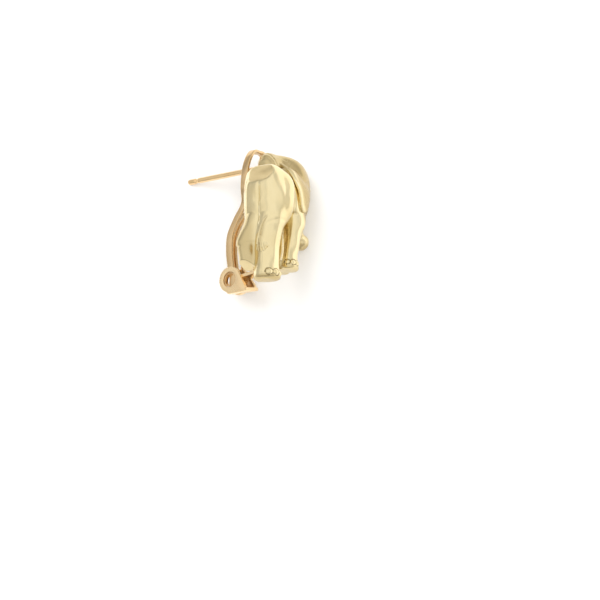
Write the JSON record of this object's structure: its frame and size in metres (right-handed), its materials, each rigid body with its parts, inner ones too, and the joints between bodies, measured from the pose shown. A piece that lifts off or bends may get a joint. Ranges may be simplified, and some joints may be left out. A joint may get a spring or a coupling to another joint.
{
  "type": "elephant omega clip earring",
  "caption": "Polished gold elephant figure earring with a straight ear post and a hinged omega clip.",
  "frame": {"origin": "Centre of the footprint on the table, at the level of the table, with the earring lying on its side.", "axes": "+Y is up as the earring is worn, +X is close to the front of the figure, turned down 21 degrees towards the table on the post's side, and +Z is up from the table, which is the side of the rump."},
  "size_m": [0.0194, 0.0206, 0.0126],
  "materials": {
    "figure_gold": "polished pale yellow gold",
    "finding_gold": "polished yellow gold"
  },
  "bodies": {
    "earring": {"elephant": "figure_gold", "ear_post": "finding_gold", "hinge_bracket": "finding_gold"},
    "clip": {"omega_clip": "finding_gold"}
  },
  "joints": [
    {"name": "clip_hinge", "type": "hinge", "parent": "earring", "child": "clip", "pos_m": [-0.00151, -0.00817, 0.00331], "axis": [-0.3576, -0.0037, 0.9339], "range_deg": [0, 95]}
  ]
}
